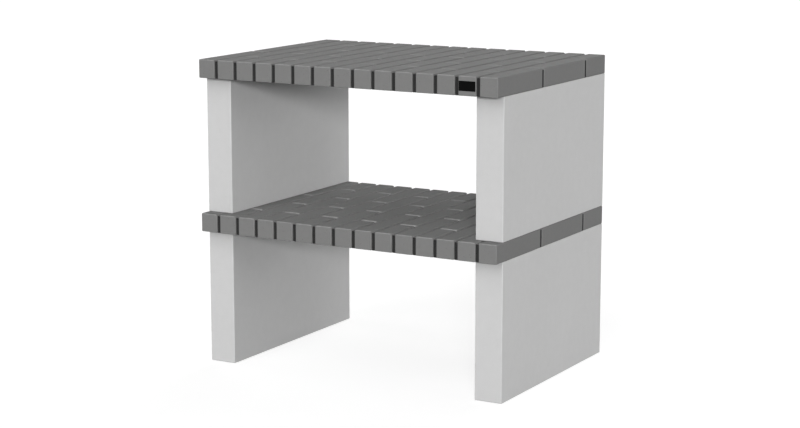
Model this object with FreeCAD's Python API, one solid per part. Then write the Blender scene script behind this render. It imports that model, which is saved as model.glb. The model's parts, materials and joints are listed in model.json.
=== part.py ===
import FreeCAD, Part
import os

from FreeCAD import Vector

# Modular barbecue station: two decks of cast blocks, a shelf and a worktop, stacked on four wall panels.
# Millimetres, X to the right, Y to the back, Z up. The origin is on the floor, below the middle of the decks.

# Blocks, laid front to back in running bond with a joint on every side
block_width = 50.0
block_length = 250.0
block_height = 50.0
block_arris = 2.0
joint = 10.0
course_count = 15
whole_blocks_per_course = 2

# Mortar in the joints, one grid a deck: flush with the underside and raked back from the other faces,
# less so at the two sides
mortar_recess = 4.5
mortar_side_recess = 2.0

# Flat tie bars on edge, from side to side through all courses and blind in the outer two
bar_height = 20.0
bar_thickness = 6.0
bar_clearance = 0.3
bar_cover = 15.0

# Wall panels, flush with the decks at the sides and the back
wall_height = 365.0
wall_thickness = 77.0
wall_setback = 35.0
wall_arris = 2.0

# Locating keys, each with one end in a wall and the other in the joint beside the outer course
key_width = 40.0
key_in_wall = 30.0
key_in_deck = 20.0
key_lead = 1.5
key_clearance = 0.3

# Bare plate on the front end of one course of the worktop
plate_height = 25.0
plate_thickness = 1.2

# Sizes that follow from those above
pitch = block_width + joint
half_length = (block_length - joint) / 2
half_module = half_length + joint
half_modules = 2 * whole_blocks_per_course + 1
deck_width = course_count * pitch - joint
deck_depth = half_modules * half_module - joint
deck_left = -deck_width / 2
deck_right = deck_width / 2
deck_front = -deck_depth / 2
deck_back = deck_depth / 2
shelf_base = wall_height
shelf_top = shelf_base + block_height
worktop_base = shelf_top + wall_height
key_thickness = joint - 2 * key_clearance
plate_course = course_count - 1
bar_places = [deck_front + half_length / 2 + k * half_module for k in range(half_modules)]
key_places = [bar_places[0] + half_module / 2, bar_places[-1] - half_module / 2]


def box(low, high):
    """Box between two opposite corners, the second one right, behind and above the first."""
    size = Vector(*high) - Vector(*low)
    return Part.makeBox(size.x, size.y, size.z, Vector(*low))


def bar(y, base, clearance=0.0):
    """Tie bar at depth y in the deck that stands at base, or its slot when a clearance is given."""
    middle = base + block_height / 2
    half_thick = bar_thickness / 2 + clearance
    half_high = bar_height / 2 + clearance
    end = deck_right - bar_cover + clearance
    return box((-end, y - half_thick, middle - half_high), (end, y + half_thick, middle + half_high))


def bond(course):
    """First half module and length in half modules of each block, from the front of one course."""
    whole = [2] * whole_blocks_per_course
    lengths = whole + [1] if course % 2 else [1] + whole
    return [(sum(lengths[:i]), length) for i, length in enumerate(lengths)]


def block(course, start, modules, base):
    """One block with its bar slots."""
    left = deck_left + (course - 1) * pitch
    front = deck_front + start * half_module
    back = front + modules * half_module - joint
    body = box((left, front, base), (left + block_width, back, base + block_height))
    body = body.makeChamfer(block_arris, body.Edges)
    for y in bar_places[start:start + modules]:
        body = body.cut(bar(y, base, bar_clearance))
    return body.Solids[0]


def key_line(wall_left):
    """X of the joint beside the outer course that stands on this wall."""
    inset = block_width + joint / 2
    return deck_left + inset if wall_left < 0 else deck_right - inset


def key(x, y, z, way):
    """Key across the face at height z, into the deck above it (way 1) or below it (way -1)."""
    half_thick = key_thickness / 2
    half_wide = key_width / 2
    ends = sorted((z - way * key_in_wall, z + way * key_in_deck))
    body = box((x - half_thick, y - half_wide, ends[0]), (x + half_thick, y + half_wide, ends[1]))
    tip = z + way * key_in_deck
    tip_edges = [e for e in body.Edges if abs(e.BoundBox.ZMin - tip) + abs(e.BoundBox.ZMax - tip) < 0.01]
    return body.makeChamfer(key_lead, tip_edges)


def mortise(x, y, z, reach):
    """Blind hole for one end of a key, from the face at height z."""
    half_thick = joint / 2
    half_wide = key_width / 2 + key_clearance
    ends = sorted((z, z + reach))
    return box((x - half_thick, y - half_wide, ends[0]), (x + half_thick, y + half_wide, ends[1]))


def mortar(base, keyed_faces):
    """Mortar grid of the deck that stands at base, with its bar slots and a mortise for each key."""
    top = base + block_height - mortar_recess
    strips = []
    for course in range(1, course_count + 1):
        left = deck_left + (course - 1) * pitch
        right = left + block_width
        low_x = max(left, deck_left + mortar_side_recess)
        high_x = min(right, deck_right - mortar_side_recess)
        for start, modules in bond(course)[1:]:
            y = deck_front + start * half_module
            strips.append(box((low_x, y - joint, base), (high_x, y, top)))
        if course < course_count:
            strips.append(box((right, deck_front + mortar_recess, base),
                              (right + joint, deck_back - mortar_recess, top)))
    holes = [bar(y, base, bar_clearance) for y in bar_places]
    for z, way in keyed_faces:
        reach = way * (key_in_deck + key_clearance)
        holes += [mortise(key_line(left), y, z, reach) for left in wall_lefts.values() for y in key_places]
    grid = strips[0].multiFuse(strips[1:]).removeSplitter()
    return grid.cut(holes).Solids[0]


def wall(left, base, keyed_faces):
    """Wall panel with softened edges and two mortises in each face that is listed with its key's way."""
    front = deck_front + wall_setback
    body = box((left, front, base), (left + wall_thickness, deck_back, base + wall_height))
    body = body.makeChamfer(wall_arris, body.Edges)
    for z, way in keyed_faces:
        for y in key_places:
            reach = -way * (key_in_wall + key_clearance)
            body = body.cut(mortise(key_line(left), y, z, reach))
    return body.Solids[0]


def plate():
    """Thin plate across the front end of its course, between the bevelled edges."""
    left = deck_left + (plate_course - 1) * pitch + block_arris
    right = left + block_width - 2 * block_arris
    low = worktop_base + (block_height - plate_height) / 2
    return box((left, deck_front - plate_thickness, low), (right, deck_front, low + plate_height))


shelf_lower_face = (shelf_base, 1)
shelf_upper_face = (shelf_top, -1)
worktop_face = (worktop_base, 1)
wall_lefts = {"left": deck_left, "right": deck_right - wall_thickness}
nodes = {}

for side, left in wall_lefts.items():
    nodes[f"lower_{side}_wall"] = [wall(left, 0.0, [shelf_lower_face])]
    nodes[f"upper_{side}_wall"] = [wall(left, shelf_top, [shelf_upper_face, worktop_face])]

decks = {"shelf": (shelf_base, [shelf_lower_face, shelf_upper_face]), "worktop": (worktop_base, [worktop_face])}
for deck, (base, keyed_faces) in decks.items():
    for course in range(1, course_count + 1):
        blocks = [block(course, start, modules, base) for start, modules in bond(course)]
        nodes[f"{deck}_course_{course:02d}"] = blocks
    for number, y in enumerate(bar_places, 1):
        nodes[f"{deck}_bar_{number}"] = [bar(y, base)]
    nodes[f"{deck}_mortar"] = [mortar(base, keyed_faces)]

key_rows = {"shelf_lower_keys": shelf_lower_face, "shelf_upper_keys": shelf_upper_face, "worktop_keys": worktop_face}
for name, face in key_rows.items():
    nodes[name] = [key(key_line(left), y, *face) for left in wall_lefts.values() for y in key_places]

nodes["front_plate"] = [plate()]

os.makedirs("parts", exist_ok=True)
for name, solids in nodes.items():
    shape = solids[0] if len(solids) == 1 else Part.makeCompound(solids)
    shape.exportStep(f"parts/{name}.step")
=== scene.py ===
import json
import math
import random

import bmesh
import bpy
from mathutils import Matrix, Vector

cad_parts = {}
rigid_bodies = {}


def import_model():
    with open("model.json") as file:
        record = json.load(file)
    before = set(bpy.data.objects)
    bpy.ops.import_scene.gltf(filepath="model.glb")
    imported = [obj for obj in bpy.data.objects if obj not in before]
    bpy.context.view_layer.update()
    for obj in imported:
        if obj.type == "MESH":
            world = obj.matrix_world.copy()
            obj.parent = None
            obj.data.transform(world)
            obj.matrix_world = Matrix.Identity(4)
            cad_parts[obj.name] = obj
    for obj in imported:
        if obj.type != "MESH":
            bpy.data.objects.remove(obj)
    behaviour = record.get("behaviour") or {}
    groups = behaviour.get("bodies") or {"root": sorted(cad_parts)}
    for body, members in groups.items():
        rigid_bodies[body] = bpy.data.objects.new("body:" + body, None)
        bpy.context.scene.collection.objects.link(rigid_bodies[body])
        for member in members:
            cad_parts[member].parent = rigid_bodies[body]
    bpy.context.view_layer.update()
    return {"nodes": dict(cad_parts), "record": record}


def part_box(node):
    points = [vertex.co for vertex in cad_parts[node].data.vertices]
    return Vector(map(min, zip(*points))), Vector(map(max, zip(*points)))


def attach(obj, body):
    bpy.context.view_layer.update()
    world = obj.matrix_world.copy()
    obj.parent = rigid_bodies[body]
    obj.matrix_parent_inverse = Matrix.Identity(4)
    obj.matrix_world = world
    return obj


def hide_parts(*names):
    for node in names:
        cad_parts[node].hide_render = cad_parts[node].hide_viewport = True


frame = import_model()


# Wall panels: four slabs of pale concrete, cast in a smooth mould that leaves a soft arris all round.
# Two stand on the ground and two on the shelf, with mortises for the keys that hold the decks in line.
# Their upright arrises carry a painted highlight, a little paler than the faces.
wall_names = [f"{level}_{side}_wall" for level in ("lower", "upper") for side in ("left", "right")]
wall_arris = 0.002
wall_arris_segments = 4
# Painted highlight on the upright arrises only
wall_painted_highlight = Vector((0.0, 0.0, 1.0))
key_nodes = ("shelf_lower_keys", "shelf_upper_keys", "worktop_keys")
mortise_clearance = Vector((0.0003, 0.0003, 0.0003))
left_joint_middle = (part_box("worktop_course_01")[1].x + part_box("worktop_course_02")[0].x) / 2
front_key_middle = (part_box("worktop_bar_1")[0].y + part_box("worktop_bar_2")[1].y) / 2
scene_objects = bpy.context.scene.collection.objects


def new_shape():
    """Empty mesh to build on, with the two attributes that the cast materials read."""
    shape = bmesh.new()
    shape.verts.layers.float.new("painted_light_and_shade")
    shape.verts.layers.float.new("tone")
    return shape


def box_at(shape, low, high):
    """Plain box between two corners; gives back its vertices."""
    place = Matrix.Translation((low + high) / 2) @ Matrix.Diagonal((*(high - low), 1.0))
    return bmesh.ops.create_cube(shape, size=1.0, matrix=place)["verts"]


def round_edges(shape, edges, radius, segments):
    """Rounds some edges of a shape; gives back the vertices and faces of the rounding."""
    return bmesh.ops.bevel(shape, geom=edges, offset=radius, offset_type="OFFSET", segments=segments,
                           profile=0.5, affect="EDGES", material=-1)


def soft_box(shape, low, high, arris, segments, painted_levels):
    """Box with rounded arrises; gives back its vertices. Their attribute of painted light holds a painted
    highlight along an arris, or painted shade where it is negative; the levels given have it for arrises
    along X, Y and Z."""
    edges = list({edge for vert in box_at(shape, low, high) for edge in vert.link_edges})
    rounding = round_edges(shape, edges, arris, segments)
    rounded = set(rounding["faces"])
    painted_light_and_shade = shape.verts.layers.float["painted_light_and_shade"]
    shape.normal_update()
    for face in rounded:
        face.smooth = True
        for vert in face.verts:
            if rounded.issuperset(vert.link_faces):
                # Halfway round an arris along X, y times z is one half, and twice that is 1
                x, y, z = (abs(part) for part in vert.normal)
                vert[painted_light_and_shade] = 2.0 * painted_levels.dot((y * z, x * z, x * y))
    return rounding["verts"]


def new_object(name, shape):
    """Object at the origin, made from a shape that is then freed."""
    mesh = bpy.data.meshes.new(name)
    shape.to_mesh(mesh)
    shape.free()
    piece = bpy.data.objects.new(name, mesh)
    scene_objects.link(piece)
    return piece


def cut(piece, tool):
    """Cuts the tool out of the piece, and deletes the tool together with its mesh."""
    step = piece.modifiers.new("cut", "BOOLEAN")
    step.operation = "DIFFERENCE"
    step.solver = "EXACT"
    step.object = tool
    finished = piece.evaluated_get(bpy.context.evaluated_depsgraph_get())
    whole = piece.data
    piece.data = bpy.data.meshes.new_from_object(finished)
    piece.modifiers.clear()
    bpy.data.meshes.remove(whole)
    bpy.data.meshes.remove(tool.data)
    piece.data.name = piece.name


def key_boxes(key_node):
    """Low and high corner of each key in a node, one at each corner of the plan."""
    low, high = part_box(key_node)
    half_thick = abs(low.x - left_joint_middle)
    half_wide = front_key_middle - low.y
    half = Vector((half_thick, half_wide, 0.0))
    for x in (low.x + half_thick, high.x - half_thick):
        for y in (low.y + half_wide, high.y - half_wide):
            yield Vector((x, y, low.z)) - half, Vector((x, y, high.z)) + half


def wall_panel(name):
    """One panel with its soft arrises and its mortises."""
    panel = new_shape()
    soft_box(panel, *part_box(name), wall_arris, wall_arris_segments, wall_painted_highlight)
    mortises = new_shape()
    for key_node in key_nodes:
        for low, high in key_boxes(key_node):
            box_at(mortises, low - mortise_clearance, high + mortise_clearance)
    piece = new_object(f"{name}_panel", panel)
    cut(piece, new_object("mortises", mortises))
    return piece


wall_colour = (0.60, 0.60, 0.60, 1.0)
wall_pore_colour = (0.33, 0.33, 0.325, 1.0)
wall_skin = {"Cloud Scale": 4.0, "Mottle Scale": 45.0, "Pore Scale": 300.0, "Pore Share": 0.12,
             "Grain Scale": 1500.0}
# The last share is the strength of the painted highlight on the upright arrises
wall_shading = {"Cloud": 0.012, "Mottle": 0.012, "Grain": 0.02, "Tone": 0.0, "Painted Light And Shade": 0.1}
wall_roughness = 0.88
wall_relief = 0.0006
skin_detail = {"Cloud": 4.0, "Mottle": 3.0, "Grain": 2.0}
skin_fineness = 0.6
noise_span = (0.3, 0.7)
both_ways = (-1.0, 1.0)
pore_growth = 1.2
pore_rim = 0.04
painted_patchiness = (0.6, 1.4)
mottle_roughness = 0.04
pore_roughness = 0.1
grain_height = 0.12
pore_height = -1.0
cast_relief_strength = 0.6
cast_specular = 0.01


def set_inputs(tree, node, inputs):
    """Sets inputs of a shader node, each to a value or to a link from another node's output."""
    for name, value in inputs.items():
        if isinstance(value, bpy.types.NodeSocket):
            tree.links.new(value, node.inputs[name])
        else:
            node.inputs[name].default_value = value


def add_node(tree, kind, inputs=None, **settings):
    """New shader node with its settings and inputs."""
    node = tree.nodes.new(kind)
    for name, value in settings.items():
        setattr(node, name, value)
    set_inputs(tree, node, inputs or {})
    return node


def calculate(tree, operation, *values):
    """Result of one calculation on values or outputs."""
    inputs = dict(enumerate(values))
    return add_node(tree, "ShaderNodeMath", inputs, operation=operation).outputs[0]


def weighted(tree, start, *terms):
    """start plus each value times its weight."""
    total = start
    for value, weight in terms:
        total = calculate(tree, "MULTIPLY_ADD", value, weight, total)
    return total


def remap(tree, value, span, target=(0.0, 1.0), smooth=False):
    """Value taken from one span to another, evenly or with soft ends."""
    inputs = {"Value": value, "From Min": span[0], "From Max": span[1],
              "To Min": target[0], "To Max": target[1]}
    step = "SMOOTHSTEP" if smooth else "LINEAR"
    return add_node(tree, "ShaderNodeMapRange", inputs, interpolation_type=step).outputs["Result"]


def mix_colour(tree, share, first, second):
    """First colour where the share is 0, and second where it is 1."""
    # The node has each socket once for every type of data, so those for colours are told apart by number
    inputs = {0: share, 6: first, 7: second}
    return add_node(tree, "ShaderNodeMix", inputs, data_type="RGBA").outputs[2]


def relief(tree, height, strength, depth):
    """Normal of a surface with fine relief; depth is how far a height of 1 stands out, in metres."""
    inputs = {"Height": height, "Strength": strength, "Distance": depth}
    return add_node(tree, "ShaderNodeBump", inputs).outputs["Normal"]


def new_material(name):
    """New material; gives back the material, its node tree and its main shader."""
    material = bpy.data.materials.new(name)
    material.use_nodes = True
    tree = material.node_tree
    return material, tree, tree.nodes["Principled BSDF"]


def cast_skin():
    """Shared surface of cast pieces: clouding, mottling, air pores and fine grain, scaled per metre."""
    group = bpy.data.node_groups.new("cast_skin", "ShaderNodeTree")
    for name in ("Cloud Scale", "Mottle Scale", "Pore Scale", "Pore Share", "Grain Scale"):
        group.interface.new_socket(name, in_out="INPUT", socket_type="NodeSocketFloat")
    for name in ("Cloud", "Mottle", "Pores", "Grain"):
        group.interface.new_socket(name, in_out="OUTPUT", socket_type="NodeSocketFloat")
    given = group.nodes.new("NodeGroupInput").outputs
    result = group.nodes.new("NodeGroupOutput")
    place = add_node(group, "ShaderNodeTexCoord").outputs["Object"]
    for name, detail in skin_detail.items():
        inputs = {"Vector": place, "Scale": given[f"{name} Scale"], "Detail": detail,
                  "Roughness": skin_fineness}
        noise = add_node(group, "ShaderNodeTexNoise", inputs).outputs["Fac"]
        set_inputs(group, result, {name: remap(group, noise, noise_span, both_ways)})
    inputs = {"Vector": place, "Scale": given["Pore Scale"]}
    cells = add_node(group, "ShaderNodeTexVoronoi", inputs).outputs
    chance = add_node(group, "ShaderNodeSeparateColor", {"Color": cells["Color"]}).outputs["Red"]
    spare = calculate(group, "SUBTRACT", given["Pore Share"], chance)
    size = calculate(group, "MULTIPLY", calculate(group, "MAXIMUM", spare, 0.0), pore_growth)
    inside = calculate(group, "SUBTRACT", size, cells["Distance"])
    set_inputs(group, result, {"Pores": remap(group, inside, (0.0, pore_rim), smooth=True)})
    return group


def cast_material(name, colour, pore_colour, skin, shading, roughness, depth):
    """Material with a cast skin; shading says how strongly its parts, the piece's tone and its painted
    light and shade show.
    """
    material, tree, shader = new_material(name)
    look = add_node(tree, "ShaderNodeGroup", skin, node_tree=cast_skin_group).outputs
    painted_light_and_shade = add_node(tree, "ShaderNodeAttribute", attribute_name="painted_light_and_shade").outputs["Fac"]
    tone = add_node(tree, "ShaderNodeAttribute", attribute_name="tone").outputs["Fac"]
    # Painted highlight and painted shade from the vertices, made patchy by the mottling
    painted_levels = calculate(tree, "MULTIPLY", painted_light_and_shade, remap(tree, look["Mottle"], both_ways, painted_patchiness))
    parts = {part: look[part] for part in ("Cloud", "Mottle", "Grain")} | {"Tone": tone, "Painted Light And Shade": painted_levels}
    shade = weighted(tree, 1.0, *((value, shading[part]) for part, value in parts.items()))
    bare = mix_colour(tree, look["Pores"], colour, pore_colour)
    shaded = add_node(tree, "ShaderNodeVectorMath", {0: bare, "Scale": shade}, operation="SCALE")
    rough = weighted(tree, roughness, (look["Mottle"], mottle_roughness),
                     (look["Pores"], pore_roughness))
    height = weighted(tree, 0.0, (look["Grain"], grain_height), (look["Pores"], pore_height))
    normal = relief(tree, height, cast_relief_strength, depth)
    set_inputs(tree, shader, {"Base Color": shaded.outputs["Vector"], "Roughness": rough, "Normal": normal,
                              "Specular IOR Level": cast_specular})
    return material


def dress(piece, material):
    """Gives a piece one material, in place of any that it has."""
    piece.data.materials.clear()
    piece.data.materials.append(material)


def seat(piece, material, cad_node):
    """Gives a finished piece its material and its place in the frame."""
    dress(piece, material)
    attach(piece, "root")
    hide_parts(cad_node)


cast_skin_group = cast_skin()
concrete = cast_material("pale_concrete", wall_colour, wall_pore_colour, wall_skin, wall_shading,
                         wall_roughness, wall_relief)
for name in wall_names:
    seat(wall_panel(name), concrete, name)


# Keys and tie bars: flat steel, cut from galvanised strip. The bars run through the blocks and carry
# them from wall to wall, and each key has one end in a wall and the other in the mortar beside the outer
# course. None of this steel shows once the station is stacked.
zinc_light = (0.62, 0.64, 0.65, 1.0)
zinc_dark = (0.42, 0.44, 0.46, 1.0)
zinc_roughness = (0.38, 0.55)
crystal_scale = 160.0


def galvanised_steel():
    """Zinc coat with its crystals, a few millimetres across and each a little lighter or darker."""
    material, tree, shader = new_material("galvanised_steel")
    place = add_node(tree, "ShaderNodeTexCoord").outputs["Object"]
    inputs = {"Vector": place, "Scale": crystal_scale}
    crystals = add_node(tree, "ShaderNodeTexVoronoi", inputs).outputs["Color"]
    share = add_node(tree, "ShaderNodeSeparateColor", {"Color": crystals}).outputs["Red"]
    colour = mix_colour(tree, share, zinc_dark, zinc_light)
    rough = remap(tree, share, (0.0, 1.0), zinc_roughness)
    set_inputs(tree, shader, {"Base Color": colour, "Roughness": rough, "Metallic": 1.0})
    return material


steel = galvanised_steel()
for entry in frame["record"]["subparts"]:
    if entry["material_slot"] == "galvanised_steel":
        dress(frame["nodes"][entry["node"]], steel)


# Decks: courses of dark cast-stone blocks in running bond, rounded on every edge and threaded on bars.
# The ends of the blocks carry a painted highlight, strongest at the front, and their long arrises painted
# shade, more of it on the worktop. On the shelf the faces in the joints are painted lighter, in place of
# the shade there.
block_arris = 0.0025
block_arris_segments = 3
# Painted highlight on arrises along X, at the block ends, and painted shade, where negative, on those
# along Y
block_painted_light_and_shade = {"shelf": Vector((0.8, -0.15, 0.0)), "worktop": Vector((0.45, -0.4, 0.0))}
front_painted_highlight = 1.0
joint_painted_light = {"shelf": 0.7, "worktop": 0.0}
courses_per_deck = 15
odd_course = (2, 2, 1)
even_course = (1, 2, 2)
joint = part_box("worktop_course_02")[0].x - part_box("worktop_course_01")[1].x
bars_per_deck = 5
slot_clearance = Vector((0.0003, 0.0003, 0.0003))
touching = 1e-6
tone_seed = 15
tone_draws = random.Random(tone_seed)


def joint_faces(block_box, deck_box):
    """Axis and place of each side and end of a block that has a joint beside it."""
    faces = []
    for block_corner, deck_corner in zip(block_box, deck_box):
        faces += [(axis, block_corner[axis]) for axis in (0, 1)
                  if abs(block_corner[axis] - deck_corner[axis]) > touching]
    return faces


def lay_course(deck, number, half_module):
    """Blocks of one course, from the front to the back, with their lengths counted in half modules."""
    low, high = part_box(f"{deck}_course_{number:02d}")
    deck_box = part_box(f"{deck}_course_01")[0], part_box(f"{deck}_course_{courses_per_deck:02d}")[1]
    course = new_shape()
    painted_light_and_shade = course.verts.layers.float["painted_light_and_shade"]
    tone = course.verts.layers.float["tone"]
    front = low.y
    for length in odd_course if number % 2 else even_course:
        back = front + length * half_module - joint
        block_box = Vector((low.x, front, low.z)), Vector((high.x, back, high.z))
        in_joints = joint_faces(block_box, deck_box)
        painted_levels = block_painted_light_and_shade[deck].copy()
        # The front ends of the front blocks get the strongest painted highlight
        if front == low.y:
            painted_levels.x = front_painted_highlight
        shade = tone_draws.uniform(*both_ways)
        for vert in soft_box(course, *block_box, block_arris, block_arris_segments, painted_levels):
            vert[tone] = shade
            # On the shelf the faces in the joints are painted lighter, in place of the shade that falls
            # there
            if any(abs(vert.co[axis] - place) < touching for axis, place in in_joints):
                vert[painted_light_and_shade] = joint_painted_light[deck]
        front = back + joint
    return course


block_colour = (0.207, 0.207, 0.205, 1.0)
block_pore_colour = (0.10, 0.10, 0.098, 1.0)
block_skin = {"Cloud Scale": 9.0, "Mottle Scale": 90.0, "Pore Scale": 260.0, "Pore Share": 0.2,
              "Grain Scale": 1400.0}
block_shading = {"Cloud": 0.01, "Mottle": 0.02, "Grain": 0.06, "Tone": 0.012, "Painted Light And Shade": 0.5}
block_roughness = 0.92
block_relief = 0.0005

stone = cast_material("dark_cast_stone", block_colour, block_pore_colour, block_skin, block_shading,
                      block_roughness, block_relief)
for deck in ("shelf", "worktop"):
    bars = [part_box(f"{deck}_bar_{number}") for number in range(1, bars_per_deck + 1)]
    half_module = bars[1][0].y - bars[0][0].y
    for number in range(1, courses_per_deck + 1):
        blocks = new_object(f"{deck}_blocks_{number:02d}", lay_course(deck, number, half_module))
        slots = new_shape()
        for low, high in bars:
            box_at(slots, low - slot_clearance, high + slot_clearance)
        cut(blocks, new_object("slots", slots))
        seat(blocks, stone, f"{deck}_course_{number:02d}")


# Mortar: almost black, pressed into the joints and raked back from the faces, flush only underneath.
# Where it faces up it is paler, partly from dust and partly painted light, strongly on the shelf and
# hardly at all on the worktop.
mortar_colour = (0.03, 0.03, 0.03, 1.0)
sand_colour = (0.05, 0.05, 0.05, 1.0)
mortar_top_dust_and_light = {"shelf": (0.19, 0.19, 0.188, 1.0), "worktop": (0.06, 0.06, 0.06, 1.0)}
mortar_roughness = 0.95
mortar_specular = 0.1
mortar_relief_strength = 0.8
mortar_relief = 0.0012
sand_scale = 700.0
sand_detail = 3.0
light_sand = (0.55, 0.8)
upward_slope = (0.5, 0.9)
dust_and_light_breaks = (0.3, 0.6)
dust_and_light_cover = (0.6, 1.0)


def raked_mortar(name, top_dust_and_light):
    """Sandy mortar with a torn, grainy face and a paler top, part dust and part painted light."""
    material, tree, shader = new_material(name)
    place = add_node(tree, "ShaderNodeTexCoord").outputs["Object"]
    inputs = {"Vector": place, "Scale": sand_scale, "Detail": sand_detail}
    sand = add_node(tree, "ShaderNodeTexNoise", inputs).outputs["Fac"]
    bare = mix_colour(tree, remap(tree, sand, light_sand), mortar_colour, sand_colour)
    facing = add_node(tree, "ShaderNodeNewGeometry").outputs["True Normal"]
    upward = add_node(tree, "ShaderNodeSeparateXYZ", {"Vector": facing}).outputs["Z"]
    # Upward faces made paler: part dust, part painted light
    dusty_and_lit = calculate(tree, "MULTIPLY", remap(tree, upward, upward_slope),
                      remap(tree, sand, dust_and_light_breaks, dust_and_light_cover))
    colour = mix_colour(tree, dusty_and_lit, bare, top_dust_and_light)
    normal = relief(tree, sand, mortar_relief_strength, mortar_relief)
    set_inputs(tree, shader, {"Base Color": colour, "Roughness": mortar_roughness, "Normal": normal,
                              "Specular IOR Level": mortar_specular})
    return material


for deck, top_dust_and_light in mortar_top_dust_and_light.items():
    dress(frame["nodes"][f"{deck}_mortar"], raked_mortar(f"{deck}_mortar", top_dust_and_light))


# Front plate: a small bare plate of thin aluminium with rounded corners and a softened front edge. It is
# painted matt black and bonded to the front end of one block of the worktop.
plate_corner = 0.0015
plate_corner_segments = 6
plate_edge = 0.0003
plate_edge_segments = 2
plate_low, plate_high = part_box("front_plate")
paint_colour = (0.0015, 0.0015, 0.0015, 1.0)
paint_specular = 0.04
paint_roughness = (0.45, 0.6)
paint_relief_strength = 0.2
paint_relief = 0.0001
speck_scale = 900.0
speck_detail = 2.0


def black_paint():
    """Matt black paint with a faint unevenness."""
    material, tree, shader = new_material("matt_black_paint")
    place = add_node(tree, "ShaderNodeTexCoord").outputs["Object"]
    inputs = {"Vector": place, "Scale": speck_scale, "Detail": speck_detail}
    specks = add_node(tree, "ShaderNodeTexNoise", inputs).outputs["Fac"]
    rough = remap(tree, specks, noise_span, paint_roughness)
    normal = relief(tree, specks, paint_relief_strength, paint_relief)
    set_inputs(tree, shader, {"Base Color": paint_colour, "Roughness": rough, "Normal": normal,
                              "Specular IOR Level": paint_specular})
    return material


plate = new_shape()
box_at(plate, plate_low, plate_high)
corners = [edge for edge in plate.edges if abs((edge.verts[0].co - edge.verts[1].co).y) > touching]
round_edges(plate, corners, plate_corner, plate_corner_segments)
rim = [edge for edge in plate.edges if all(vert.co.y < plate_low.y + touching for vert in edge.verts)]
round_edges(plate, rim, plate_edge, plate_edge_segments)
seat(new_object("front_plate_bare", plate), black_paint(), "front_plate")


# Studio: a plain white floor that keeps a faint shadow and is clear from below, a dim even sky, and soft
# lamps all round the object, so that no side of it is left dark.
floor_reach = 40.0
floor_drop = 0.0005
floor_bounce = (0.35, 0.35, 0.35, 1.0)
floor_seen = (0.4, 0.4, 0.4, 1.0)
floor_glow = 0.72
white = (1.0, 1.0, 1.0, 1.0)


def seen_directly(tree):
    """1 for what the camera, gloss and glass see, and 0 for light that falls on the object."""
    path = add_node(tree, "ShaderNodeLightPath").outputs
    shown = calculate(tree, "MAXIMUM", path["Is Camera Ray"], path["Is Glossy Ray"])
    return calculate(tree, "MAXIMUM", shown, path["Is Transmission Ray"])


def mix_shaders(tree, share, first, second):
    """First shader where the share is 0, and second where it is 1."""
    return add_node(tree, "ShaderNodeMixShader", {0: share, 1: first, 2: second}).outputs[0]


def white_floor():
    """Floor that looks white from above, but throws only a little light back on the object."""
    material, tree, shader = new_material("white_floor")
    tree.nodes.remove(shader)
    bounce = add_node(tree, "ShaderNodeBsdfDiffuse", {"Color": floor_bounce}).outputs[0]
    shown = add_node(tree, "ShaderNodeBsdfDiffuse", {"Color": floor_seen}).outputs[0]
    glow = add_node(tree, "ShaderNodeEmission", {"Color": white, "Strength": floor_glow}).outputs[0]
    lit = add_node(tree, "ShaderNodeAddShader", {0: shown, 1: glow}).outputs[0]
    above = mix_shaders(tree, seen_directly(tree), bounce, lit)
    below = add_node(tree, "ShaderNodeBsdfTransparent").outputs[0]
    underside = add_node(tree, "ShaderNodeNewGeometry").outputs["Backfacing"]
    surface = mix_shaders(tree, underside, above, below)
    set_inputs(tree, tree.nodes["Material Output"], {"Surface": surface})
    return material


ground = bmesh.new()
bmesh.ops.create_grid(ground, x_segments=1, y_segments=1, size=floor_reach,
                      matrix=Matrix.Translation((0.0, 0.0, -floor_drop)))
floor = new_object("floor", ground)
dress(floor, white_floor())

sky_strength = 0.05
backdrop_strength = 1.0
sky = bpy.data.worlds.new("white_sky")
sky.use_nodes = True
bpy.context.scene.world = sky
tree = sky.node_tree
ambient = tree.nodes["Background"]
set_inputs(tree, ambient, {"Color": white, "Strength": sky_strength})
backdrop = add_node(tree, "ShaderNodeBackground", {"Color": white, "Strength": backdrop_strength})
seen_sky = mix_shaders(tree, seen_directly(tree), ambient.outputs[0], backdrop.outputs[0])
set_inputs(tree, tree.nodes["World Output"], {"Surface": seen_sky})

# Name, azimuth, elevation, spread and strength of each lamp, with the angles in degrees
lamps = (
    ("key_lamp", 30.0, 12.0, 9.0, 1.7),
    ("front_lamp", 0.0, 22.0, 30.0, 0.52),
    ("high_front_lamp", 0.0, 50.0, 45.0, 1.0),
    ("right_lamp", 90.0, 8.0, 30.0, 0.53),
    ("back_right_lamp", 135.0, 8.0, 30.0, 0.64),
    ("back_lamp", 180.0, 8.0, 30.0, 2.16),
    ("high_back_lamp", 180.0, 50.0, 45.0, 0.78),
    ("left_lamp", -90.0, 8.0, 30.0, 1.57),
)


def aimed_from(azimuth, elevation):
    """Rotation of a lamp or camera that looks from there at the object; azimuth 90 is at the right."""
    turn = math.radians(azimuth)
    rise = math.radians(elevation)
    away = Vector((math.sin(turn) * math.cos(rise), -math.cos(turn) * math.cos(rise), math.sin(rise)))
    return away.to_track_quat("Z", "Y").to_euler()


for name, azimuth, elevation, spread, strength in lamps:
    lamp = bpy.data.lights.new(name, "SUN")
    lamp.energy = strength
    lamp.angle = math.radians(spread)
    lamp_object = bpy.data.objects.new(name, lamp)
    lamp_object.rotation_euler = aimed_from(azimuth, elevation)
    scene_objects.link(lamp_object)


# Camera: the photograph's own view, through a long lens from about five metres away, to the right of the
# front and a little above the worktop.
view_azimuth = 29.755
view_elevation = 10.445
view_place = (2.6157, -4.5979, 1.3769)
view_lens = 89.0
view_sensor = 36.0

camera = bpy.data.cameras.new("camera")
camera.lens = view_lens
camera.sensor_width = view_sensor
camera_object = bpy.data.objects.new("camera", camera)
camera_object.location = view_place
camera_object.rotation_euler = aimed_from(view_azimuth, view_elevation)
scene_objects.link(camera_object)
bpy.context.scene.camera = camera_object
bpy.context.scene.view_settings.view_transform = "Standard"
